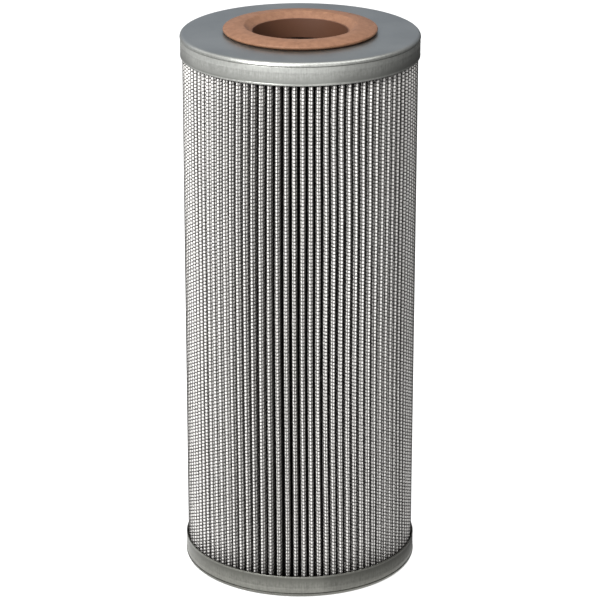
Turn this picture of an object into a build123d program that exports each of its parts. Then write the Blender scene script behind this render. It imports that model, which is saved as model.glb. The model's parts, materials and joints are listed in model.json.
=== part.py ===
"""Pleated hydraulic filter element: pleated sheet, support tube, two drawn end caps and a rubber seal.

Sizes are millimetres. +Z is up along the element's axis, the origin is the centre of the bottom
cap's underside, and the front of the element faces -Y.
"""
from math import asin, atan2, degrees, exp, sqrt
import os

from build123d import *

# ---- end caps: drawn from sheet steel
cap_diameter = 99.0           # over the corner ring
body_length = 232.8           # over the two discs
cap_sheet = 0.5
cap_corner_radius = 1.4
cap_corner_height = 2.0       # the corner ring stands proud of the skirt over this height
cap_corner_proud = 0.15
cap_skirt_height = 9.5

# ---- adhesive that bonds the pleats into the caps
potting_depth = 3.0

# ---- support tube: perforated steel
tube_wall = 1.0
perforation_size = 9.0        # square holes
perforation_columns = 8
perforation_rows = 12
perforation_margin = 16.0     # from the tube's end to the nearest row's centre

# ---- pleated sheet: glass-fibre media with wire cloth on its outer side
pleat_count = 91
pleat_turn = 1.2              # degrees from the front to the nearest pleat, towards +X
media_thickness = 0.45
cloth_thickness = 0.3
fold_tip_radius = 1.0         # cloth's outer surface, round the tip of a pleat
fold_root_radius = 0.1        # cloth's outer surface, inside the root between two pleats
tip_clearance = 0.3           # between the tips and the skirts
root_clearance = 0.1          # between the roots and the tube
seam_depth = 12.0             # of the adhesive strip between the sheet's two ends

# ---- how the pleats lean sideways, as the caps were bonded: degrees, anticlockwise seen from above
pleat_lean = 0.3              # of every pleat but the one at the seam
lean_groups = (               # added lean, its middle counted in pleats from the front, its reach in pleats
    (-1.9, -9.4, 6.2),
    (-1.4, 20.9, 12.3),
)

# ---- seal: moulded rubber, snapped into the top cap's hole; radial widths outwards from its bore
seal_bore_diameter = 39.2
seal_wall = 3.2               # from the bore to the cap's hole
seal_hold = 1.8               # how far the lower flange reaches under the disc
seal_nose_wall = 1.9          # at the lower end
seal_ledge = 0.6              # at the foot of the lead-in cone
seal_cone_width = 3.0
seal_crown_width = 3.8        # flat ring on top
seal_slope_width = 4.8        # from the flat ring down to the rim
seal_lift_width = 1.6         # the flange's edge is lifted off the disc over this width
seal_flange_height = 3.0      # above the disc
seal_rim_low = 0.9
seal_rim_high = 1.8
seal_cone_depth = 2.5
seal_lip_height = 2.2
seal_nose_height = 5.0
seal_clearance = 1.4          # from the lower flange to the support tube

# ---- sizes that follow
cap_radius = cap_diameter / 2
skirt_radius = cap_radius - cap_corner_proud
skirt_inner_radius = skirt_radius - cap_sheet
cap_bevel = (cap_corner_radius - cap_sheet) * (2 - sqrt(2))  # a flat that touches the bend's inner arc
bore_radius = seal_bore_diameter / 2
seat_radius = bore_radius + seal_ledge
mouth_radius = seat_radius + seal_cone_width
crown_radius = mouth_radius + seal_crown_width
flange_radius = crown_radius + seal_slope_width
hole_radius = bore_radius + seal_wall
lip_radius = hole_radius + seal_hold
nose_radius = bore_radius + seal_nose_wall
tube_inner_radius = lip_radius + seal_clearance
tube_radius = tube_inner_radius + tube_wall
top_inside = body_length - cap_sheet
bottom_inside = cap_sheet
pleat_bottom = bottom_inside + potting_depth
pleat_height = body_length - 2 * pleat_bottom

os.makedirs("parts", exist_ok=True)


# ---- end caps and the adhesive in them

def cap_section(inner_radius, disc, skirt_way):
    """Section of a drawn cap, with its disc's outer face at height disc.

    The skirt goes up from it with skirt_way +1, and down with -1.
    """
    inside = disc + skirt_way * cap_sheet
    ring_end = disc + skirt_way * cap_corner_height
    lip = disc + skirt_way * cap_skirt_height
    with BuildSketch(Plane.XZ) as section:
        with BuildLine():
            Polyline(
                (inner_radius, disc),
                (cap_radius, disc),
                (cap_radius, ring_end),
                (skirt_radius, ring_end),
                (skirt_radius, lip),
                (skirt_inner_radius, lip),
                (skirt_inner_radius, inside),
                (inner_radius, inside),
                close=True,
            )
        make_face()
        fillet(vertices().sort_by_distance((cap_radius, disc))[0], cap_corner_radius)
        chamfer(vertices().sort_by_distance((skirt_inner_radius, inside))[0], cap_bevel)
    return section.sketch


def potting_section(inside, fill_way):
    """Section of the adhesive round the support tube, from a disc's inner face up (+1) or down (-1)."""
    surface = inside + fill_way * potting_depth
    with BuildSketch(Plane.XZ) as section:
        with BuildLine():
            Polyline(
                (tube_radius, inside),
                (skirt_inner_radius, inside),
                (skirt_inner_radius, surface),
                (tube_radius, surface),
                close=True,
            )
        make_face()
        chamfer(vertices().sort_by_distance((skirt_inner_radius, inside))[0], cap_bevel)
    return section.sketch


with BuildPart() as top_end_cap:
    revolve(cap_section(hole_radius, body_length, -1), axis=Axis.Z)
top_end_cap.part.label = "top_end_cap"
export_step(top_end_cap.part, "parts/top_end_cap.step")

with BuildPart() as bottom_end_cap:
    revolve(cap_section(0, 0, 1), axis=Axis.Z)
bottom_end_cap.part.label = "bottom_end_cap"
export_step(bottom_end_cap.part, "parts/bottom_end_cap.step")

with BuildPart() as top_potting:
    revolve(potting_section(top_inside, -1), axis=Axis.Z)
top_potting.part.label = "top_potting"
export_step(top_potting.part, "parts/top_potting.step")

with BuildPart() as bottom_potting:
    revolve(potting_section(bottom_inside, 1), axis=Axis.Z)
bottom_potting.part.label = "bottom_potting"
export_step(bottom_potting.part, "parts/bottom_potting.step")


# ---- seal

with BuildPart() as seal_grommet:
    crown = body_length + seal_flange_height
    seat = crown - seal_cone_depth
    lip_end = top_inside - seal_lip_height
    nose_end = lip_end - seal_nose_height
    with BuildSketch(Plane.XZ):
        with BuildLine():
            Polyline(
                (hole_radius, top_inside),
                (hole_radius, body_length),
                (flange_radius - seal_lift_width, body_length),
                (flange_radius, body_length + seal_rim_low),
                (flange_radius, body_length + seal_rim_high),
                (crown_radius, crown),
                (mouth_radius, crown),
                (seat_radius, seat),
                (bore_radius, seat),
                (bore_radius, nose_end),
                (nose_radius, nose_end),
                (lip_radius, lip_end),
                (lip_radius, top_inside),
                close=True,
            )
        make_face()
    revolve(axis=Axis.Z)
seal_grommet.part.label = "seal_grommet"
export_step(seal_grommet.part, "parts/seal_grommet.step")


# ---- support tube

with BuildPart() as support_tube:
    tube_length = top_inside - bottom_inside
    with BuildSketch(Plane.XY.offset(bottom_inside)):
        Circle(tube_radius)
        Circle(tube_inner_radius, mode=Mode.SUBTRACT)
    extrude(amount=tube_length)
    row_pitch = (tube_length - 2 * perforation_margin) / (perforation_rows - 1)
    for row in range(perforation_rows):
        row_height = bottom_inside + perforation_margin + row * row_pitch
        stagger = (row % 2) * 180 / perforation_columns
        with Locations((0, 0, row_height)):
            with PolarLocations(0, perforation_columns, stagger):
                Box(2 * tube_radius, perforation_size, perforation_size,
                    align=(Align.MIN, Align.CENTER, Align.CENTER), mode=Mode.SUBTRACT)
support_tube.part.label = "support_tube"
export_step(support_tube.part, "parts/support_tube.step")


# ---- pleated sheet: two layers folded together, and the seam between the sheet's two ends

sheet_thickness = cloth_thickness + media_thickness
pitch_angle = 360 / pleat_count
tip_centre = Vector(skirt_inner_radius - tip_clearance - fold_tip_radius, 0)
root_distance = tube_radius + root_clearance + sheet_thickness + fold_root_radius
root_centre = Vector(root_distance, 0).rotate(Axis.Z, pitch_angle / 2)
seam_angle = pleat_turn - 90 + (pleat_count // 2) * pitch_angle


def arc_points(centre, radius, start, end, facets):
    """Points along an arc from one angle to another, in degrees."""
    step = (end - start) / facets
    return [centre + Vector(radius, 0).rotate(Axis.Z, start + i * step) for i in range(facets + 1)]


def flank_angle(lean):
    """Direction of a fold's +Y flank, which touches the arcs of its tip and of the root beside it."""
    root_to_tip = tip_centre.rotate(Axis.Z, lean) - root_centre
    between_arcs = asin((fold_tip_radius + fold_root_radius) / root_to_tip.length)
    return degrees(between_arcs + atan2(root_to_tip.Y, root_to_tip.X))


def half_fold(depth, lean, tip_facets, root_facets):
    """A fold's +Y side at a depth under the cloth's surface, from the tip to the middle of the valley.

    The lean turns the tip about the element's axis towards +Y, and the valleys stay where they are.
    """
    centre = tip_centre.rotate(Axis.Z, lean)
    flank = flank_angle(lean)
    tip_radius = fold_tip_radius - depth
    root_radius = fold_root_radius + depth
    half_tip = arc_points(centre, tip_radius, lean, 90 + flank, tip_facets)
    half_root = arc_points(root_centre, root_radius, flank - 90, pitch_angle / 2 - 180, root_facets)
    return half_tip + half_root


def mirrored(points):
    """The same points on the fold's -Y side, in the order that runs on towards +Y."""
    return [Vector(point.X, -point.Y) for point in reversed(points)]


def lean_of(fold):
    """Lean of a fold in degrees, with the folds counted anticlockwise from the seam."""
    from_front = fold - pleat_count + pleat_count // 2
    added = [lean * exp(-((from_front - middle) / reach) ** 2) for lean, middle, reach in lean_groups]
    return pleat_lean + sum(added)


def sheet_line(depth, tip_facets, root_facets):
    """One surface of the sheet, from its first end over every fold to its last end beside the first."""
    facets = (tip_facets, root_facets)
    half_seam_fold = half_fold(depth, 0, *facets)[tip_facets:]
    line = list(half_seam_fold)
    for fold in range(1, pleat_count):
        lean = lean_of(fold)
        whole_fold = mirrored(half_fold(depth, -lean, *facets))[1:-1] + half_fold(depth, lean, *facets)
        line += [point.rotate(Axis.Z, fold * pitch_angle) for point in whole_fold]
    return line + mirrored(half_seam_fold)[1:]


def sheet_section(outline):
    """Section at the lower potting face, turned so that the seam is at the back."""
    with BuildSketch(Plane.XY.offset(pleat_bottom).rotated((0, 0, seam_angle))) as section:
        with BuildLine():
            Polyline(*outline, close=True)
        make_face()
    return section.sketch


cloth_outside = sheet_line(0, tip_facets=2, root_facets=1)
cloth_inside = sheet_line(cloth_thickness, tip_facets=1, root_facets=1)
media_inside = sheet_line(sheet_thickness, tip_facets=1, root_facets=2)

with BuildPart() as wire_cloth:
    extrude(sheet_section(cloth_outside + cloth_inside[::-1]), amount=pleat_height)
wire_cloth.part.label = "wire_cloth"
export_step(wire_cloth.part, "parts/wire_cloth.step")

with BuildPart() as filter_media:
    extrude(sheet_section(cloth_inside + media_inside[::-1]), amount=pleat_height)
filter_media.part.label = "filter_media"
export_step(filter_media.part, "parts/filter_media.step")

with BuildPart() as side_seam:
    strip_top = media_inside[0]
    strip_side = [strip_top, strip_top + Vector(-seam_depth, 0).rotate(Axis.Z, flank_angle(0))]
    extrude(sheet_section(strip_side + mirrored(strip_side)), amount=pleat_height)
side_seam.part.label = "side_seam"
export_step(side_seam.part, "parts/side_seam.step")
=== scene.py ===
"""Pleated hydraulic filter element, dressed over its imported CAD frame.

Every new piece is a surface worked out with numpy on a grid of two parameters. Lengths are metres.
"""
import json
import math

import bpy
import numpy as np
from mathutils import Matrix, Vector


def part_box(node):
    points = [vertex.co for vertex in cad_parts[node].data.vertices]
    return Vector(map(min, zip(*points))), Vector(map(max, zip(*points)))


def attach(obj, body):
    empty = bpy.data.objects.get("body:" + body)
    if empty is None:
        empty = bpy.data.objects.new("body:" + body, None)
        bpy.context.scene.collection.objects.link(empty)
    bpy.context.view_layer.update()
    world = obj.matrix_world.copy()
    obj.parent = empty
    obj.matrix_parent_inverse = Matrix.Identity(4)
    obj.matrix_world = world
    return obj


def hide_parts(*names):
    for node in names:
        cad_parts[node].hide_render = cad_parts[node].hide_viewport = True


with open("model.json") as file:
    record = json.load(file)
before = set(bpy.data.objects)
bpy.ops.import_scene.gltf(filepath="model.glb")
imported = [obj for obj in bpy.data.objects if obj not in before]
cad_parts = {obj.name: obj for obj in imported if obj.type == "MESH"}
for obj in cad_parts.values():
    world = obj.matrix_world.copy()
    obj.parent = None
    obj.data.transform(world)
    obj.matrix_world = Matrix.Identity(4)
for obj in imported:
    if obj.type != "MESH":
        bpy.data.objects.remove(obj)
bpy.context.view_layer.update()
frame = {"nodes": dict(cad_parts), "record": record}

bl_info = {
    "name": "Pleated filter element",
    "version": (1, 0, 0),
    "blender": (4, 5, 0),
    "location": "3D View > Sidebar > Filter element",
    "description": "Makes the cloth, pleats, caps, seal and studio of a pleated hydraulic filter element",
    "category": "Add Mesh",
}

MM = 0.001
BODY = "root"
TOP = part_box("top_end_cap")[1].z
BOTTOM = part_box("bottom_end_cap")[0].z
CAP_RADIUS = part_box("top_end_cap")[1].x
SKIRT_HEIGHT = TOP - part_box("top_end_cap")[0].z
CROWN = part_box("seal_grommet")[1].z
BORE_RADIUS = frame["record"]["mounts"][0]["dims"]["r_mm"] * MM


def linear(hex_colour):
    """Linear colour of an sRGB hex value.

    Each part c becomes c / 12.92 up to 0.04045, and ((c + 0.055) / 1.055) ^ 2.4 above it.
    """
    srgb = np.array([int(hex_colour[i:i + 2], 16) for i in (1, 3, 5)]) / 255
    rgb = np.where(srgb <= 0.04045, srgb / 12.92, ((srgb + 0.055) / 1.055) ** 2.4)
    return (*rgb.tolist(), 1.0)


# ---- sizes and colours that a user would change

def length(name, description, millimetres):
    return bpy.props.FloatProperty(
        name=name, description=description, default=millimetres * MM, min=0, unit="LENGTH", precision=5)


def angle(name, description, degrees):
    return bpy.props.FloatProperty(
        name=name, description=description, default=math.radians(degrees), unit="ROTATION")


def number(name, description, default):
    return bpy.props.FloatProperty(name=name, description=description, default=default)


def power(name, description, watts):
    return bpy.props.FloatProperty(name=name, description=description, default=watts, unit="POWER")


def colour(name, description, hex_colour):
    return bpy.props.FloatVectorProperty(
        name=name, description=description, default=linear(hex_colour), size=4, min=0, max=1, subtype="COLOR")


class PleatSizes(bpy.types.PropertyGroup):
    """Folds of the sheet, and the cloth's wires."""

    count: bpy.props.IntProperty(name="Pleats", description="Folds round the element", default=91, min=3)
    turn: angle("Turn", "From the front to the nearest pleat's tip", 1.2)
    tip_distance: length("Tip distance", "From the axis to the end of a tip", 48.55)
    tip_radius: length("Tip radius", "Half the width of a tip, over the cloth", 1.25)
    tip_length: length("Tip length", "From a tip's end back to where its flanks are straight", 2.7)
    tip_power: number("Tip power", "2 for an ellipse, less for a more pointed tip", 1.8)
    root_distance: length("Root distance", "From the axis to the centre of a root's arc", 27.95)
    root_radius: length("Root radius", "Cloth's outer surface inside a root", 0.1)
    lowest: length("Lowest", "Lower end of the sheet", 3.5)
    highest: length("Highest", "Upper end of the sheet", 229.3)
    media_outside: length("Media depth", "From the cloth's outer surface down to the media", 0.19)
    media_inside: length("Media back", "From the cloth's outer surface down to the media's back", 0.75)
    weft_spacing: length("Weft spacing", "Between the wires that go over the tips", 1.505)
    warp_spacing: length("Warp spacing", "Between the wires along the pleats", 1.5)
    weft_reach: length("Weft reach", "From a tip along its flank to the ends of the weft wires", 15.8)
    warps_beside: bpy.props.IntProperty(
        name="Warps beside", description="Warp wires on each side of a tip", default=5, min=0)
    wire_radius: length("Wire radius", "Half of a coated wire's diameter", 0.165)
    wire_depth: length("Wire depth", "From the cloth's outer surface to the wires' centres", 0.17)
    crimp: length("Crimp", "How far a weft wire goes up and down over the warp", 0.07)


class CapSizes(bpy.types.PropertyGroup):
    """Drawn end caps."""

    sheet: length("Sheet", "Thickness of the caps' sheet steel", 0.5)
    corner_radius: length("Corner radius", "Outer radius of the drawn corner", 1.55)
    ring_height: length("Ring height", "From the disc down to the crease under the corner ring", 1.76)
    ring_proud: length("Ring proud", "How far the corner ring stands out of the skirt", 0.15)
    hole_radius: length("Hole radius", "Hole in the top cap, which the seal fills", 22.8)


class SealSizes(bpy.types.PropertyGroup):
    """Moulded seal, as radial widths outwards from its bore."""

    ledge: length("Ledge", "Seat at the foot of the lead-in cone", 0.6)
    cone: length("Cone", "Width of the lead-in cone", 3.0)
    crown: length("Crown", "Width of the flat ring on top", 3.8)
    slope: length("Slope", "From the flat ring down to the rim", 4.8)
    rim_low: length("Rim low", "Lower edge of the rim, above the disc", 0.9)
    rim_high: length("Rim high", "Upper edge of the rim, above the disc", 1.8)
    lift: length("Lift", "Width of the flange's edge that is lifted off the disc", 1.6)
    cone_depth: length("Cone depth", "From the flat ring down to the ledge", 2.5)
    hold: length("Hold", "How far the lower flange reaches under the disc", 1.8)
    lip_height: length("Lip height", "Outer wall of the lower flange", 2.2)
    nose_height: length("Nose height", "From the lower flange down to the lower end", 5.0)
    nose_wall: length("Nose wall", "At the lower end", 1.9)


class FinishColours(bpy.types.PropertyGroup):
    """Colours of the materials."""

    steel: colour("Cap steel", "Plated sheet", "#A8A9A5")
    # this darker colour marks the drawing streaks and also paints shade into the crease
    steel_streaks_and_painted_shade: colour("Cap steel, shaded", "Darker streaks from drawing", "#82837F")
    # painted shade: the lower cap's steel is a darker copy of the upper cap's, painted for its dimmer
    # reflections
    lower_steel_painted_shade: colour("Lower cap steel", "Duller plating of the lower cap", "#7E7E78")
    lower_steel_streaks_and_painted_shade: colour("Lower cap steel, shaded", "Darker streaks from drawing", "#5C5C57")
    rubber: colour("Rubber", "Moulded rubber", "#70503C")
    rubber_shade: colour("Rubber, shaded", "Darker mottling", "#593C2A")
    # painted shade: the bore wall's darker colour
    rubber_bore_painted_shade: colour("Rubber, bore", "Skin left by the core pin", "#43291B")
    media: colour("Media", "Glass-fibre mat", "#D7D5D2")
    # painted shade: this colour darkens the mat beside the wires and deeper in the folds
    media_painted_shade: colour("Media, shaded", "Mat beside a wire, where dust settles", "#45423E")
    wire: colour("Wire", "Epoxy coat on the wires", "#272523")
    tube: colour("Tube", "Perforated steel", "#8F9192")
    adhesive: colour("Adhesive", "Cured epoxy", "#6B6557")


class StudioSettings(bpy.types.PropertyGroup):
    """Camera, lamps and room."""

    lens: bpy.props.FloatProperty(
        name="Lens", description="Focal length", default=165.62, subtype="DISTANCE_CAMERA")
    pitch: angle("Pitch", "How far the camera looks down", 20.09)
    key_power: power("Key", "Power of the softbox at the front left", 16.5)
    fill_power: power("Fill", "Power of the softbox at the front right", 3.8)
    top_power: power("Top", "Power of the softbox overhead", 16)
    back_power: power("Back", "Power of the softbox at the back left", 1)
    dim_side: number("Dim side", "Brightness of the room at the back right", 0.05)
    bright_side: number("Bright side", "Added brightness of the room at the front left", 1.1)


# ---- meshes

def grid_faces(rows, columns, close_rows=False, close_columns=False):
    """Quads between the points of a grid, wound so that (next row) x (next column) points outwards."""
    r, c = np.meshgrid(
        np.arange(rows if close_rows else rows - 1), np.arange(columns if close_columns else columns - 1),
        indexing="ij")
    down, right = (r + 1) % rows, (c + 1) % columns
    quads = np.stack([r * columns + c, down * columns + c, down * columns + right, r * columns + right], -1)
    return quads.reshape(-1, 4)


def add_piece(name, points, face_sets, material, slot, stands_for, pattern=None):
    """Mesh object from points (n, 3) and face arrays (faces, corners), with a UV pair for each point."""
    mesh = bpy.data.meshes.new(name)
    corners = np.concatenate([faces.ravel() for faces in face_sets])
    counts = np.concatenate([np.full(len(faces), faces.shape[1]) for faces in face_sets])
    mesh.vertices.add(len(points))
    mesh.vertices.foreach_set("co", points.astype(np.float32).ravel())
    mesh.loops.add(len(corners))
    mesh.loops.foreach_set("vertex_index", corners.astype(np.int32))
    mesh.polygons.add(len(counts))
    mesh.polygons.foreach_set("loop_start", (np.cumsum(counts) - counts).astype(np.int32))
    mesh.polygons.foreach_set("use_smooth", np.ones(len(counts), bool))
    if pattern is not None:
        uv = mesh.uv_layers.new(name="pattern")
        uv.data.foreach_set("uv", pattern[corners].astype(np.float32).ravel())
    mesh.update(calc_edges=True)
    mesh.materials.append(material)
    piece = bpy.data.objects.new(name, mesh)
    bpy.context.scene.collection.objects.link(piece)
    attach(piece, BODY)
    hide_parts(*stands_for)
    return piece


def softened(corners, steps=6):
    """Closed outline from corners (x, z, reach), each rounded by the arc from A to B.

    C is the corner, and A and B lie at its reach along its two sides. The arc is the rational curve
    ((1-t)^2 A + 2 w t(1-t) C + t^2 B) / ((1-t)^2 + 2 w t(1-t) + t^2), with w the cosine of half its turn.
    """
    corners = np.array(corners, float)
    corner, reach = corners[:, :2] * MM, corners[:, 2:] * MM
    back, ahead = np.roll(corner, 1, 0) - corner, np.roll(corner, -1, 0) - corner
    back, ahead = (way / np.linalg.norm(way, axis=1, keepdims=True) for way in (back, ahead))
    start, end = (corner + way * reach for way in (back, ahead))
    w = np.sqrt((1 - (back * ahead).sum(1)) / 2)[:, None, None]
    t = np.linspace(0, 1, steps)[None, :, None]
    near_start, near_corner, near_end = (1 - t) ** 2, 2 * w * t * (1 - t), t ** 2
    line = near_start * start[:, None] + near_corner * corner[:, None] + near_end * end[:, None]
    line = (line / (near_start + near_corner + near_end)).reshape(-1, 2)
    return line[np.linalg.norm(line - np.roll(line, 1, 0), axis=1) > 1e-9]


def turned(outline, steps=240):
    """Outline (radius, height) turned about the axis: x = radius cos a, y = radius sin a, z = height."""
    a = np.linspace(0, 2 * np.pi, steps, endpoint=False)[:, None]
    radius, height = outline[:, 0], outline[:, 1]
    return np.stack([radius * np.cos(a), radius * np.sin(a), height + 0 * a], -1)


def add_turned_piece(name, outline, poles, **rest):
    """Turned piece from an outline that runs anticlockwise, radius to the right and height up.

    With poles, the outline starts and ends on two flat faces, and a fan closes each face at the axis.
    """
    points = turned(outline)
    steps, columns = points.shape[:2]
    faces = [grid_faces(steps, columns, close_rows=True, close_columns=not poles)]
    points = points.reshape(-1, 3)
    if poles:
        first, last = len(points), len(points) + 1
        points = np.vstack([points, [[0, 0, outline[0, 1]], [0, 0, outline[-1, 1]]]])
        ring = np.arange(steps) * columns
        ahead = np.roll(ring, -1)
        faces.append(np.stack([np.full(steps, first), ahead, ring], -1))
        end, end_ahead = ring + columns - 1, ahead + columns - 1
        faces.append(np.stack([np.full(steps, last), end, end_ahead], -1))
    return add_piece(name, points, faces, **rest)


# ---- the folded sheet

class FoldedSheet:
    """The sheet as one function of fold, distance across the fold, depth and height."""

    bows = (  # degrees, middle and reach in pleats from the front, middle and reach in mm of height
        (-3.0, -10.4, 5.7, 97, 139),
        (-2.1, -5.0, 3.7, 57, 138),
        (-2.6, 2.5, 6.8, 76, 81),
        (-0.9, 5.9, 4.8, 208, 28),
        (3.0, -1.4, 10.8, 57, 96),
        (-2.2, 20.7, 12.0, 101, 89),
    )
    all_lean = 0.3  # degrees
    ripples = ((0.05, 2.4, 0), (0.04, 5.1, 9))  # degrees, radians for each fold, radians for each metre
    drift_pleats = (-20, -10, -5, -3, -1, 0, 1, 3, 5, 12, 22)
    drift_heights = (25, 130, 180)
    drift = (  # place of the warp wire nearest each tip, in spacings, at the heights above
        (1.0, 0.75, 0.6, 0.95, 1.1, 1.45, 1.5, 1.95, 1.95, 1.5, 1.1),
        (1.0, 0.8, 0.7, 0.75, 0.9, 1.0, 1.1, 1.45, 1.45, 1.2, 1.0),
        (0.9, 0.6, 0.3, 0.35, 0.5, 0.55, 0.7, 1.0, 1.1, 1.1, 1.0),
    )
    tip_samples = 65  # along half of a tip's curve, to measure its length

    def __init__(self, sizes):
        self.sizes = sizes
        self.pitch = 2 * math.pi / sizes.count
        tip = np.array([sizes.tip_distance - sizes.tip_length, 0])
        root = sizes.root_distance * np.array([math.cos(self.pitch / 2), math.sin(self.pitch / 2)])
        way = root - tip
        both = sizes.tip_radius + sizes.root_radius
        self.tip, self.root = tip, root
        self.lean = math.asin(both / np.hypot(*way)) - math.atan2(way[1], -way[0])
        self.flank = math.sqrt(way @ way - both ** 2)
        self.turns = np.linspace(0, math.pi / 2, self.tip_samples)
        steps = np.diff(self.tip_curve(self.turns, sizes.wire_depth), axis=1)
        self.arc = np.append(0, np.cumsum(np.hypot(*steps)))
        self.half_tip = self.arc[-1]
        self.half_root = (sizes.root_radius + sizes.wire_depth) * (math.pi / 2 + self.lean - self.pitch / 2)
        self.seam = sizes.count // 2

    def tip_curve(self, turn, depth):
        """Quarter of the tip, |x/a|^n + |y/b|^n = 1: x = a cos(turn)^(2/n), y = b sin(turn)^(2/n)."""
        sizes = self.sizes
        exponent = 2 / sizes.tip_power
        along = (sizes.tip_length - depth) * np.clip(np.cos(turn), 0, 1) ** exponent
        return np.stack([along, (sizes.tip_radius - depth) * np.sin(turn) ** exponent])

    def sway(self, fold, height):
        """How far a tip leans sideways, in radians: one lean for all, plus the ripples and the bows.

        A ripple is A sin(p fold + q height), and a bow is A exp(-(df/w)^2 - (dh/v)^2). The fold at the
        seam stays straight.
        """
        from_front = self.from_front(fold)
        lean = self.all_lean
        for amount, by_fold, by_height in self.ripples:
            lean = lean + amount * np.sin(by_fold * fold + by_height * height)
        for amount, centre, width, middle, reach in self.bows:
            lean = lean + amount * np.exp(-((from_front - centre) / width) ** 2
                                          - ((height / MM - middle) / reach) ** 2)
        return np.radians(np.where(from_front == self.seam, 0, lean))

    def from_front(self, fold):
        """Number of the fold counted from the front, positive towards +X."""
        return (fold + self.seam) % self.sizes.count - self.seam

    def drift_at(self, fold, height):
        """The drift table read linearly between its pleats and its heights."""
        rows = [np.interp(self.from_front(fold), self.drift_pleats, row) for row in self.drift]
        level = np.interp(height / MM, self.drift_heights, range(len(rows)))
        return sum(row * np.clip(1 - abs(level - index), 0, 1) for index, row in enumerate(rows))

    def first_warp(self, fold, height):
        """Distance across the fold of the warp wire that is nearest its tip at half height."""
        halfway = self.drift_at(fold, self.drift_heights[1] * MM)
        return self.sizes.warp_spacing * (self.drift_at(fold, height) - np.round(halfway))

    def place(self, fold, across, depth, height):
        """Point of the sheet, as (..., 3).

        across is the length along the fold from its tip, at the wires' depth. The half fold is the tip's
        curve, a straight flank that leans in, and an arc round the root's centre; depth makes the tip smaller
        and the root's arc larger. The fold is then turned to its place, and its sway grows from nothing at
        the root to the whole at the tip.
        """
        sizes, lean = self.sizes, self.lean
        fold, across, depth, height = np.broadcast_arrays(fold, across, depth, height)
        along = np.abs(across)
        turn = np.interp(along, self.arc, self.turns)
        run = np.clip(along - self.half_tip, 0, self.flank)
        x, y = self.tip_curve(turn, depth)
        x, y = self.tip[0] + x - run * math.cos(lean), y - run * math.sin(lean)
        beyond = along - self.half_tip - self.flank
        root_reach = sizes.root_radius + sizes.wire_depth
        bend = lean - math.pi / 2 - np.clip(beyond, 0, self.half_root) / root_reach
        in_root = beyond > 0
        x = np.where(in_root, self.root[0] + (sizes.root_radius + depth) * np.cos(bend), x)
        y = np.where(in_root, self.root[1] + (sizes.root_radius + depth) * np.sin(bend), y) * np.sign(across)
        radius = np.hypot(x, y)
        share = (radius - sizes.root_distance) / (sizes.tip_distance - sizes.root_distance)
        sway = self.sway(fold, height) * np.clip(share, 0, None)
        a = np.arctan2(y, x) + sizes.turn - math.pi / 2 + fold * self.pitch + sway
        return np.stack([radius * np.cos(a), radius * np.sin(a), height], -1)


def add_media(sheet, material):
    """Closed folded sheet: out along the folds at the outer depth and back at the inner, in steps of height.

    The line starts and ends on the flanks beside the seam. Its points are closest together on a tip.
    """
    sizes = sheet.sizes
    on_tip = sheet.half_tip * np.array([0, 0.05, 0.12, 0.25, 0.5, 1])
    on_flank = sheet.half_tip + sheet.flank * np.array([0.08, 0.25, 0.55])
    on_root = sheet.half_tip + sheet.flank + np.linspace(0, sheet.half_root, 3)
    half = np.concatenate([on_tip, on_flank, on_root])
    whole = np.concatenate([-half[:0:-1], half[:-1]])
    seam_side = half[len(on_tip) - 1:]
    first = sheet.seam - sizes.count
    fold = np.concatenate([
        np.full(len(seam_side) - 1, first),
        np.repeat(np.arange(first + 1, sheet.seam), len(whole)),
        np.full(len(seam_side), sheet.seam)])[:, None]
    across = np.concatenate([seam_side[:-1], np.tile(whole, sizes.count - 1), -seam_side[::-1]])[:, None]
    line, columns = len(fold), 15
    height = np.linspace(sizes.lowest, sizes.highest, columns)[None, :]
    outside = sheet.place(fold, across, sizes.media_outside, height)
    inside = sheet.place(fold, across, sizes.media_inside, height)
    points = np.concatenate([outside, inside[::-1]]).reshape(-1, 3)
    u = (across - sheet.first_warp(fold, height)) / sizes.warp_spacing
    v = np.broadcast_to(height / sizes.weft_spacing, u.shape)
    pattern = np.stack([u, v], -1)
    pattern = np.concatenate([pattern, pattern[::-1]]).reshape(-1, 2)
    i = np.arange(line - 1)
    outer, inner = i * columns, (2 * line - 1 - i) * columns
    end = np.stack([outer, outer + columns, inner - columns, inner], -1)
    faces = [grid_faces(2 * line, columns, close_rows=True), end[:, ::-1], end + columns - 1]
    return add_piece("media_pleats", points, faces, material, "glass_fibre", ["filter_media"], pattern)


def wire_faces(wires, steps, sides):
    """Walls and ends of wires whose points are on a grid (wires, steps, sides)."""
    wall = grid_faces(steps, sides, close_columns=True)
    ends = np.array([range(sides), range(steps * sides - 1, (steps - 1) * sides - 1, -1)])
    start = (np.arange(wires) * steps * sides)[:, None, None]
    return [(wall + start).reshape(-1, 4), (ends + start).reshape(-1, sides)]


def add_wires(name, points, material):
    """points is (..., steps, sides, 3), one closed prism for each wire."""
    steps, sides = points.shape[-3:-1]
    points = points.reshape(-1, steps, sides, 3)
    return add_piece(name, points.reshape(-1, 3), wire_faces(len(points), steps, sides), material,
                     "coated_wire", ["wire_cloth"])


AROUND = 2 * np.pi * np.arange(3) / 3  # a wire's three sides


def weft_points(sheet, fold, row, across):
    """Wires across the folds, as (fold, row, step, side, 3).

    A wire's depth swings by the crimp as cos(pi s), with s in warp spacings, and the next row's swings
    the other way.
    """
    sizes = sheet.sizes
    height = (row * sizes.weft_spacing)[None, :, None, None]
    fold = fold[:, None, None, None]
    across = across[None, None, :, None]
    phase = (across - sheet.first_warp(fold, height)) / sizes.warp_spacing
    swing = sizes.crimp * np.cos(np.pi * phase) * (1 - 2 * (row % 2))[None, :, None, None]
    depth = sizes.wire_depth + swing - sizes.wire_radius * np.cos(AROUND)
    return sheet.place(fold, across, depth, height + sizes.wire_radius * np.sin(AROUND))


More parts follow.
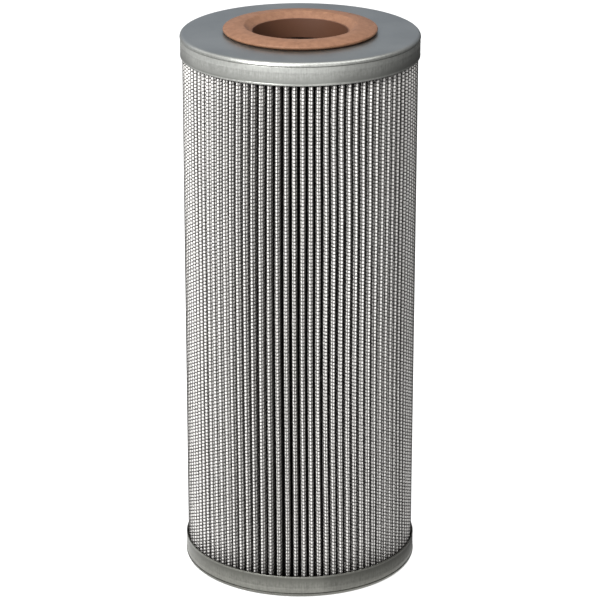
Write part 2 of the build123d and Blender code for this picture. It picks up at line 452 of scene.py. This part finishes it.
def add_wire_cloth(sheet, material):
    """Weft wires over tips and flanks, in four bands of height, and warp wires along the folds."""
    sizes = sheet.sizes
    half = np.append(sheet.half_tip * np.array([0.08, 0.3, 1]), sizes.weft_reach)
    across = np.concatenate([-half[::-1], half])
    folds = np.delete(np.arange(sizes.count), sheet.seam)
    hidden = 1.5 * MM  # how far the wires go on behind a skirt
    lowest, highest = BOTTOM + SKIRT_HEIGHT - hidden, TOP - SKIRT_HEIGHT + hidden
    rows = np.arange(math.ceil(lowest / sizes.weft_spacing), int(highest / sizes.weft_spacing) + 1)
    for band, band_rows in enumerate(np.array_split(rows, 4), 1):
        add_wires(f"weft_wires_{band}", weft_points(sheet, folds, band_rows, across), material)
    from_tip = 0.1 * MM  # at the seam the sheet's ends meet without a tip
    flank = np.array([sheet.half_tip + from_tip, sizes.weft_reach])
    seam = np.array([sheet.seam])
    add_wires("weft_wires_seam_left", weft_points(sheet, seam, rows, flank), material)
    add_wires("weft_wires_seam_right", weft_points(sheet, seam, rows, -flank[::-1]), material)

    # a warp wire goes half a spacing past the first and the last weft wire
    steps = np.linspace(rows[0] - 0.5, rows[-1] + 0.5, 21)
    height = steps[None, None, :, None] * sizes.weft_spacing
    fold = folds[:, None, None, None]
    warp = np.arange(-sizes.warps_beside, sizes.warps_beside + 1)[None, :, None, None]
    across = sheet.first_warp(fold, height) + warp * sizes.warp_spacing - sizes.wire_radius * np.sin(AROUND)
    depth = sizes.wire_depth - sizes.wire_radius * np.cos(AROUND)
    add_wires("warp_wires", sheet.place(fold, across, depth, height), material)


# ---- materials

def add_node(tree, kind, inputs=None, **settings):
    """One shader node with its settings; each input is given a number, a colour or another node's output."""
    made = tree.nodes.new(kind)
    for name, value in settings.items():
        setattr(made, name, value)
    for socket, value in (inputs or {}).items():
        if isinstance(value, bpy.types.NodeSocket):
            tree.links.new(value, made.inputs[socket])
        else:
            made.inputs[socket].default_value = value
    return made


def new_material(name):
    """Empty node material with its output: (material, tree, output node)."""
    material = bpy.data.materials.new(name)
    material.use_nodes = True
    tree = material.node_tree
    tree.nodes.clear()
    return material, tree, tree.nodes.new("ShaderNodeOutputMaterial")


def maths(tree, operation, *values):
    """Result of one operation on numbers or other nodes' outputs."""
    return add_node(tree, "ShaderNodeMath", dict(enumerate(values)), operation=operation).outputs[0]


def ramp(tree, value, start, end, low=0.0, high=1.0):
    """Value from start to end, taken evenly to low to high and held beyond them."""
    return add_node(tree, "ShaderNodeMapRange", {
        "Value": value, "From Min": start, "From Max": end, "To Min": low, "To Max": high}).outputs[0]


def noise(tree, place, grain, detail, roughness=0.5):
    """Cloudy noise from 0 to 1, whose largest patches are about one grain across."""
    return add_node(tree, "ShaderNodeTexNoise", {
        "Vector": place, "Scale": 1 / grain, "Detail": detail, "Roughness": roughness}).outputs[0]


def mixed(tree, share, first, second, data_type="RGBA"):
    """First value or colour at a share of 0, and the second at 1."""
    mix = add_node(tree, "ShaderNodeMix", {"Factor": share, "A": first, "B": second}, data_type=data_type)
    return mix.outputs["Result"]


def toned(tree, tint, value):
    """Colour made darker or lighter by a value round 1."""
    return add_node(tree, "ShaderNodeHueSaturation", {"Value": value, "Color": tuple(tint)}).outputs[0]


def from_axis(tree, place):
    """Distance of a place from the element's axis."""
    level = add_node(tree, "ShaderNodeVectorMath", {0: place, 1: (1, 1, 0)}, operation="MULTIPLY").outputs[0]
    return add_node(tree, "ShaderNodeVectorMath", {0: level}, operation="LENGTH").outputs["Value"]


def bumped(tree, height, strength, distance):
    """Normal of a surface whose relief is strength times distance high."""
    return add_node(tree, "ShaderNodeBump", {
        "Strength": strength, "Distance": distance, "Height": height}).outputs[0]


def set_surface(tree, output, inputs):
    """Principled shader with these inputs as the material's surface."""
    shader = add_node(tree, "ShaderNodeBsdfPrincipled", inputs)
    tree.links.new(shader.outputs[0], output.inputs["Surface"])


def painted_skirt_shade_and_highlight(tree, place, crease):
    """How light a cap's skirt is painted, from 0 to 1, and what its band adds, by the depth from the disc.

    Painted shade darkens the crease, the skirt is darker towards its lip, and a painted highlight brightens
    the band under the crease.
    """
    height = add_node(tree, "ShaderNodeSeparateXYZ", {"Vector": place}).outputs["Z"]
    # measured from half height, the depth is the same sum on both caps
    from_middle = maths(tree, "ABSOLUTE", maths(tree, "SUBTRACT", height, (TOP + BOTTOM) / 2))
    depth = maths(tree, "SUBTRACT", (TOP - BOTTOM) / 2, from_middle)
    # the skirt is darker from 5.5 mm down towards the lip, but not on the lip itself
    lip_darkening = ramp(tree, depth, 5.5 * MM, 8.4 * MM, low=1, high=0)
    lip = maths(tree, "GREATER_THAN", depth, 8.75 * MM)
    from_crease = maths(tree, "ABSOLUTE", maths(tree, "SUBTRACT", depth, crease))
    # painted shade: the colour is darker in the crease
    painted_crease_shade = ramp(tree, from_crease, 0.1 * MM, 0.4 * MM, low=0.4)
    crease_shade_and_lip_darkening = maths(tree, "MULTIPLY", maths(tree, "MAXIMUM", lip_darkening, lip), painted_crease_shade)
    # painted highlight: the band under the crease, down to 4.4 mm, is painted brighter
    under_crease = maths(tree, "GREATER_THAN", depth, crease)
    band = maths(tree, "MULTIPLY", under_crease, ramp(tree, depth, 4.0 * MM, 4.4 * MM, low=0.35, high=0))
    return crease_shade_and_lip_darkening, band


def drawn_plated_steel(name, light, dark, roughness, crease):
    """Plated sheet steel, deep drawn: a dull, soft mirror with upright streaks from the die, painted shade in
    the crease, darker towards the lip, and a painted highlight on the band.
    """
    material, tree, output = new_material(name)
    coordinates = add_node(tree, "ShaderNodeTexCoord").outputs
    place = coordinates["Object"]
    # a streak is 0.5 mm wide and 5 mm long, and stains beside it are 1 mm across
    streak = (1 / (0.5 * MM), 1 / (0.5 * MM), 1 / (5 * MM))
    along = add_node(tree, "ShaderNodeMapping", {"Vector": place, "Scale": streak}).outputs[0]
    streaks, stains = noise(tree, along, 1, detail=2), noise(tree, place, 1.1 * MM, detail=3)
    drawn = mixed(tree, 0.5, streaks, stains, "FLOAT")
    # the flat disc isn't drawn, so there the marks fade out into faint clouds
    calm = mixed(tree, 0.6, noise(tree, place, 20 * MM, detail=2), 0.5, "FLOAT")
    upright = add_node(tree, "ShaderNodeSeparateXYZ", {"Vector": coordinates["Normal"]}).outputs["Z"]
    fade = ramp(tree, maths(tree, "ABSOLUTE", upright), 0, 1, 0.2, 0.85)
    share = ramp(tree, mixed(tree, fade, drawn, calm, "FLOAT"), 0.3, 0.7)
    # painted shade in the crease, darker towards the lip, and a painted highlight on the band under the
    # crease
    crease_shade_and_lip_darkening, band = painted_skirt_shade_and_highlight(tree, place, crease)
    share = maths(tree, "MULTIPLY", maths(tree, "ADD", share, band), crease_shade_and_lip_darkening)
    set_surface(tree, output, {
        "Base Color": mixed(tree, share, tuple(dark), tuple(light)),
        "Metallic": 1.0,
        "Roughness": ramp(tree, share, 0, 1, roughness - 0.05, roughness + 0.05),
        "Normal": bumped(tree, drawn, 0.15, 0.03 * MM)})
    return material


def moulded_rubber(colours):
    """Nitrile rubber, compression moulded: matt, with faint mottling from the mix and a fine skin."""
    material, tree, output = new_material("nitrile_rubber_moulded")
    place = add_node(tree, "ShaderNodeTexCoord").outputs["Object"]
    mottle = ramp(tree, noise(tree, place, 2.5 * MM, detail=5, roughness=0.7), 0.25, 0.6)
    tint = mixed(tree, mottle, tuple(colours.rubber_shade), tuple(colours.rubber))
    # painted shade: the bore wall is painted darker, as little light reaches into it
    outside = ramp(tree, from_axis(tree, place), BORE_RADIUS + 0.1 * MM, BORE_RADIUS + 0.9 * MM)
    set_surface(tree, output, {
        "Base Color": mixed(tree, outside, tuple(colours.rubber_bore_painted_shade), tint),
        "Roughness": 0.6,
        "Specular IOR Level": 0.25,
        "Normal": bumped(tree, noise(tree, place, 0.5 * MM, detail=2), 0.25, 0.08 * MM)})
    return material


def glass_fibre_mat(colours):
    """Glass-fibre media, felted and pressed through the cloth: white pillows with painted shade round their
    edges.

    A pillow's height is (1 - |x|^2.5)(1 - |y|^2.5), with x and y from -1 to 1 across one opening of the
    cloth.
    """
    material, tree, output = new_material("glass_fibre_mat_felted")
    pattern = add_node(tree, "ShaderNodeUVMap", uv_map="pattern").outputs[0]
    parts = add_node(tree, "ShaderNodeSeparateXYZ", {"Vector": pattern})
    sides = []
    for part in (parts.outputs["X"], parts.outputs["Y"]):
        from_wire = maths(tree, "PINGPONG", part, 0.5)
        from_middle = maths(tree, "MULTIPLY_ADD", from_wire, -2, 1)
        sides.append(maths(tree, "SUBTRACT", 1, maths(tree, "POWER", from_middle, 2.5)))
    pillow = maths(tree, "MULTIPLY", *sides)
    # painted shade: deeper in the folds, down the flanks, the mat is painted darker
    place = add_node(tree, "ShaderNodeTexCoord").outputs["Object"]
    painted_fold_shade = ramp(tree, from_axis(tree, place), 45.2 * MM, 47.4 * MM, low=0.35)
    white = maths(tree, "MULTIPLY", pillow, painted_fold_shade)
    # painted shade: the mat goes to the shade colour at the pillows' edges, beside the wires
    set_surface(tree, output, {
        "Base Color": mixed(tree, white, tuple(colours.media_painted_shade), tuple(colours.media)),
        "Roughness": 0.5,
        "Normal": bumped(tree, pillow, 1, 0.38 * MM)})
    return material


def coated_wire(colours):
    """Steel wire, woven and epoxy coated: nearly black and matt, with a dull gloss on each crown."""
    material, tree, output = new_material("steel_wire_epoxy_coated")
    place = add_node(tree, "ShaderNodeTexCoord").outputs["Object"]
    coat = noise(tree, place, 1.5 * MM, detail=2)
    set_surface(tree, output, {
        "Base Color": toned(tree, colours.wire, ramp(tree, coat, 0.3, 0.7, 0.8, 1.2)),
        "Specular IOR Level": 0.3,
        "Roughness": ramp(tree, coat, 0.3, 0.7, 0.5, 0.7)})
    return material


def galvanised_tube_steel(colours):
    """Perforated strip, galvanised and rolled: patchy grey crystals about 5 mm across."""
    material, tree, output = new_material("tube_steel_galvanised")
    place = add_node(tree, "ShaderNodeTexCoord").outputs["Object"]
    crystals = add_node(tree, "ShaderNodeTexVoronoi", {"Vector": place, "Scale": 1 / (5 * MM)})
    shade = add_node(tree, "ShaderNodeSeparateColor", {"Color": crystals.outputs["Color"]}).outputs[0]
    set_surface(tree, output, {
        "Base Color": toned(tree, colours.tube, ramp(tree, shade, 0, 1, 0.85, 1.1)),
        "Metallic": 1.0,
        "Roughness": ramp(tree, shade, 0, 1, 0.35, 0.5)})
    return material


def cured_epoxy(colours):
    """Epoxy adhesive, poured and cured: glossy and uneven, with cloudy patches a few millimetres across."""
    material, tree, output = new_material("epoxy_adhesive_cured")
    place = add_node(tree, "ShaderNodeTexCoord").outputs["Object"]
    clouds = noise(tree, place, 3 * MM, detail=3)
    set_surface(tree, output, {
        "Base Color": toned(tree, colours.adhesive, ramp(tree, clouds, 0.3, 0.7, 0.8, 1.2)),
        "Roughness": 0.35,
        "Normal": bumped(tree, clouds, 0.4, 0.2 * MM)})
    return material


# ---- studio

def white_floor_paper():
    """Background paper, matt: grey to the light, so that shadows stay, under an even white glow.

    Only the camera, mirrors and glass see the glow.
    """
    material, tree, output = new_material("floor_paper_white")
    paper = add_node(tree, "ShaderNodeBsdfDiffuse", {"Color": linear("#8C8C8C")})
    path = add_node(tree, "ShaderNodeLightPath").outputs
    seen = maths(tree, "MAXIMUM", path["Is Camera Ray"], path["Is Glossy Ray"])
    seen = maths(tree, "MAXIMUM", seen, path["Is Transmission Ray"])
    glow = add_node(tree, "ShaderNodeEmission", {"Strength": maths(tree, "MULTIPLY", seen, 0.86)})
    both = add_node(tree, "ShaderNodeAddShader", {0: paper.outputs[0], 1: glow.outputs[0]})
    tree.links.new(both.outputs[0], output.inputs["Surface"])
    return material


# degrees anticlockwise from the front, and the card's brightness there
CARD_SHADES = (
    (15, 0.86), (40, 0.76), (60, 0.58), (80, 0.38), (100, 0.24), (120, 0.14), (140, 0.08), (165, 0.03),
    (185, 0.05), (200, 0.25), (220, 0.55), (240, 0.8),
)


def graded_card():
    """Card printed from light grey to dark grey, so that the skirts darken evenly round the right side."""
    material, tree, output = new_material("card_graded_matt")
    place = add_node(tree, "ShaderNodeTexCoord").outputs["Object"]
    way = add_node(tree, "ShaderNodeTexGradient", {"Vector": place}, gradient_type="RADIAL").outputs["Fac"]
    shades = add_node(tree, "ShaderNodeValToRGB", {"Fac": way})
    stops = shades.color_ramp.elements
    stops.remove(stops[1])
    stops[0].position, stops[0].color = 0, (1, 1, 1, 1)
    front = 0.25  # of the gradient's turn
    for degrees, grey in CARD_SHADES:
        stops.new(front + degrees / 360).color = (grey, grey, grey, 1)
    card = add_node(tree, "ShaderNodeEmission", {"Color": shades.outputs["Color"]})
    tree.links.new(card.outputs[0], output.inputs["Surface"])
    return material


def add_stage_mesh(name, points, faces, material):
    """Studio object from a list of points and a list of faces."""
    mesh = bpy.data.meshes.new(name)
    mesh.from_pydata(points, [], faces)
    mesh.materials.append(material)
    sheet = bpy.data.objects.new(name, mesh)
    bpy.context.scene.collection.objects.link(sheet)
    return sheet


def arc_sheet(edges, start, end, steps=48):
    """Sheet between two (radius, height) edges and two angles, in degrees anticlockwise from the front."""
    a = np.radians(np.linspace(start, end, steps) - 90)[:, None]
    radius, height = np.array(edges).T
    points = np.stack([radius * np.cos(a), radius * np.sin(a), height + 0 * a], -1)
    return points.reshape(-1, 3).tolist(), grid_faces(steps, 2).tolist()


def add_cards():
    """Graded card on the floor and round the right side, which only the part's reflections see."""
    card, level = graded_card(), BOTTOM + 0.1 * MM
    near, far, top = 0.052, 0.3, 0.24
    for name, sheet in (
            ("graded_card_wall", arc_sheet(((far, level), (far, top)), 30, 240)),
            ("graded_card_floor", arc_sheet(((far, level), (near, level)), 15, 240))):
        placed = add_stage_mesh(name, *sheet, card)
        placed.visible_camera = placed.visible_diffuse = placed.visible_shadow = False


def add_softbox(name, place, width, height, watts):
    """Rectangular lamp that points at the middle of the element."""
    lamp = bpy.data.lights.new(name, "AREA")
    lamp.shape, lamp.size, lamp.size_y, lamp.energy = "RECTANGLE", width, height, watts
    way = Vector((0, 0, (TOP + BOTTOM) / 2)) - Vector(place)
    box = bpy.data.objects.new(name, lamp)
    box.matrix_world = Matrix.Translation(place) @ way.to_track_quat("-Z", "Y").to_matrix().to_4x4()
    bpy.context.scene.collection.objects.link(box)


def add_room(settings):
    """Room whose walls go evenly from bright at the front left to dim at the back right, cool at the back."""
    world = bpy.data.worlds.new("room")
    bpy.context.scene.world = world
    world.use_nodes = True
    tree = world.node_tree
    tree.nodes.clear()
    output = tree.nodes.new("ShaderNodeOutputWorld")
    way = add_node(tree, "ShaderNodeTexCoord").outputs["Generated"]
    front_left = (-0.52, -0.38, 0.76)
    towards = add_node(tree, "ShaderNodeVectorMath", {0: way, 1: front_left}, operation="DOT_PRODUCT")
    share = ramp(tree, towards.outputs["Value"], -1, 1)
    backward = add_node(tree, "ShaderNodeSeparateXYZ", {"Vector": way}).outputs["Y"]
    room = add_node(tree, "ShaderNodeBackground", {
        "Color": mixed(tree, ramp(tree, backward, 0.3, 1), (1, 1, 1, 1), linear("#E3EEFF")),
        "Strength": maths(tree, "MULTIPLY_ADD", share, settings.bright_side, settings.dim_side)})
    tree.links.new(room.outputs[0], output.inputs["Surface"])


def add_camera(settings):
    """Camera in front of the element and above it, turned by a hair to stand level."""
    lens = bpy.data.cameras.new("camera")
    lens.sensor_width, lens.lens = 36, settings.lens
    lens.clip_start, lens.clip_end = 0.05, 30
    place, roll = (0, -1.0999, 0.51794), 0.00097
    tilt = Matrix.Rotation(math.pi / 2 - settings.pitch, 4, "X")
    camera = bpy.data.objects.new("camera", lens)
    camera.matrix_world = Matrix.Translation(place) @ tilt @ Matrix.Rotation(roll, 4, "Z")
    bpy.context.scene.collection.objects.link(camera)
    bpy.context.scene.camera = camera


# ---- operators

def cap_wall(sizes, start):
    """Section of a cap from a radius to the skirt's lip and back, in mm.

    Each corner is (radius, depth under the disc, rounding).
    """
    ring, sheet, crease = CAP_RADIUS / MM, sizes.sheet / MM, sizes.ring_height / MM
    skirt, tall = ring - sizes.ring_proud / MM, SKIRT_HEIGHT / MM
    inner = skirt - sheet
    return [
        # disc and corner ring
        (start, 0, 0.15), (ring, 0, sizes.corner_radius / MM), (ring, crease - 0.12, 0.04),
        # crease, and the band that stands 0.04 out of the skirt
        (skirt - 0.32, crease, 0.03), (skirt - 0.03, crease + 0.2, 0.06), (skirt + 0.04, 3.9, 0.12),
        # plain skirt, its neck and its lip
        (skirt - 0.03, 4.15, 0.12), (skirt, 7.0, 0.6), (skirt - 0.09, tall - 1.0, 0.3),
        (skirt + 0.05, tall - 0.55, 0.15), (skirt, tall, 0.12),
        # inside
        (inner, tall, 0.12), (inner, sheet, 0.8), (start, sheet, 0.15)]


class MakeEndCaps(bpy.types.Operator):
    """Drawn end caps: a disc, a rounded proud corner ring, a crease, a slight band and a skirt with a lip"""

    bl_idname = "filter_element.make_end_caps"
    bl_label = "End caps"

    def execute(self, context):
        sizes = context.scene.filter_caps
        colours = context.scene.filter_colours
        steel = drawn_plated_steel(
            "plated_steel_drawn", colours.steel, colours.steel_streaks_and_painted_shade,
            roughness=0.36, crease=sizes.ring_height)
        # painted shade: the lower cap gets a darker copy of the steel, for its dimmer reflections
        dull = drawn_plated_steel(
            "plated_steel_drawn_painted_shade", colours.lower_steel_painted_shade, colours.lower_steel_streaks_and_painted_shade,
            roughness=0.42, crease=sizes.ring_height)

        wall = cap_wall(sizes, sizes.hole_radius / MM)
        outline = softened([(radius, TOP / MM - depth, reach) for radius, depth, reach in reversed(wall)])
        add_turned_piece("top_cap_drawn", outline, poles=False, material=steel,
                         slot="cap_steel", stands_for=["top_end_cap"])
        pole = 1.0
        wall = cap_wall(sizes, pole)
        outline = softened([(radius, BOTTOM / MM + depth, reach) for radius, depth, reach in wall])
        add_turned_piece("bottom_cap_drawn", outline, poles=True, material=dull,
                         slot="cap_steel", stands_for=["bottom_end_cap"])
        return {"FINISHED"}


class MakeSeal(bpy.types.Operator):
    """Moulded seal: flat crown, lead-in cone, rounded slope, lifted rim, and a barbed nose under the disc"""

    bl_idname = "filter_element.make_seal"
    bl_label = "Seal"

    def execute(self, context):
        sizes, caps = context.scene.filter_seal, context.scene.filter_caps
        bore = BORE_RADIUS
        seat = bore + sizes.ledge
        mouth = seat + sizes.cone
        crown = mouth + sizes.crown
        flange = crown + sizes.slope
        hole, nose = caps.hole_radius, bore + sizes.nose_wall
        lip = hole + sizes.hold
        under = TOP - caps.sheet
        lip_end = under - sizes.lip_height
        nose_end = lip_end - sizes.nose_height
        ledge = CROWN - sizes.cone_depth
        corners = [  # the rounding of each is in mm
            (hole, under, 0), (lip, under, 0.15), (lip, lip_end, 0.3), (nose, nose_end, 0.3),
            (bore, nose_end, 0.25), (bore, ledge, 0.12), (seat, ledge, 0.15), (mouth, CROWN, 0.5),
            (crown, CROWN, 1.4), (flange, TOP + sizes.rim_high, 0.45), (flange, TOP + sizes.rim_low, 0.3),
            (flange - sizes.lift, TOP, 0.3), (hole, TOP, 0)]
        outline = softened([(radius / MM, height / MM, reach) for radius, height, reach in reversed(corners)])
        rubber = moulded_rubber(context.scene.filter_colours)
        add_turned_piece("seal_moulded", outline, poles=False, material=rubber,
                         slot="seal_rubber", stands_for=["seal_grommet"])
        return {"FINISHED"}


class MakePleats(bpy.types.Operator):
    """Folded glass-fibre media, with the wire cloth that lies over it"""

    bl_idname = "filter_element.make_pleats"
    bl_label = "Pleats and wire cloth"

    def execute(self, context):
        sheet = FoldedSheet(context.scene.filter_pleats)
        colours = context.scene.filter_colours
        add_media(sheet, glass_fibre_mat(colours))
        add_wire_cloth(sheet, coated_wire(colours))
        return {"FINISHED"}


class FinishInnerParts(bpy.types.Operator):
    """Finishes for the solids that stay: the perforated tube, the adhesive in the caps and the side seam"""

    bl_idname = "filter_element.finish_inner_parts"
    bl_label = "Inner parts"

    def execute(self, context):
        colours = context.scene.filter_colours
        finishes = {"support_tube": galvanised_tube_steel(colours)}
        finishes.update(dict.fromkeys(("top_potting", "bottom_potting", "side_seam"), cured_epoxy(colours)))
        for node, material in finishes.items():
            solid = frame["nodes"][node]
            solid.data.materials.clear()
            solid.data.materials.append(material)
        return {"FINISHED"}


class MakeStudio(bpy.types.Operator):
    """White floor, graded card and room, softboxes, and the camera"""

    bl_idname = "filter_element.make_studio"
    bl_label = "Studio"

    def execute(self, context):
        settings = context.scene.filter_studio
        context.scene.view_settings.view_transform = "Standard"
        side, level = 6, BOTTOM - 0.1 * MM
        corners = [(-side, -side, level), (side, -side, level), (side, side, level), (-side, side, level)]
        add_stage_mesh("floor", corners, [(0, 1, 2, 3)], white_floor_paper())
        add_cards()
        add_softbox("key_softbox", (-0.44, -0.66, 0.72), 0.5, 0.6, settings.key_power)
        add_softbox("fill_softbox", (0.6, -1.5, 0.7), 0.8, 1.0, settings.fill_power)
        add_softbox("top_softbox", (0.05, -0.3, 1.3), 2.3, 1.0, settings.top_power)
        add_softbox("back_softbox", (-0.8, 0.35, 0.7), 0.6, 0.6, settings.back_power)
        add_room(settings)
        add_camera(settings)
        return {"FINISHED"}


class FilterElementPanel(bpy.types.Panel):
    """Sizes and colours of the filter element, with a button for each piece"""

    bl_idname = "VIEW3D_PT_filter_element"
    bl_label = "Filter element"
    bl_space_type = "VIEW_3D"
    bl_region_type = "UI"
    bl_category = "Filter element"

    def draw(self, context):
        for operator in OPERATORS:
            self.layout.operator(operator.bl_idname)
        for group in GROUPS:
            box = self.layout.box()
            for name in GROUPS[group].__annotations__:
                box.prop(getattr(context.scene, group), name)


GROUPS = {
    "filter_pleats": PleatSizes, "filter_caps": CapSizes, "filter_seal": SealSizes,
    "filter_colours": FinishColours, "filter_studio": StudioSettings,
}
OPERATORS = (MakeEndCaps, MakeSeal, MakePleats, FinishInnerParts, MakeStudio)
CLASSES = (*GROUPS.values(), *OPERATORS, FilterElementPanel)


def register():
    for cls in CLASSES:
        bpy.utils.register_class(cls)
    for name, group in GROUPS.items():
        setattr(bpy.types.Scene, name, bpy.props.PointerProperty(type=group))


def unregister():
    for name in GROUPS:
        delattr(bpy.types.Scene, name)
    for cls in reversed(CLASSES):
        bpy.utils.unregister_class(cls)


def main():
    register()
    bpy.ops.filter_element.make_end_caps()
    bpy.ops.filter_element.make_seal()
    bpy.ops.filter_element.make_pleats()
    bpy.ops.filter_element.finish_inner_parts()
    bpy.ops.filter_element.make_studio()
    bpy.context.view_layer.update()


if __name__ == "__main__":
    main()
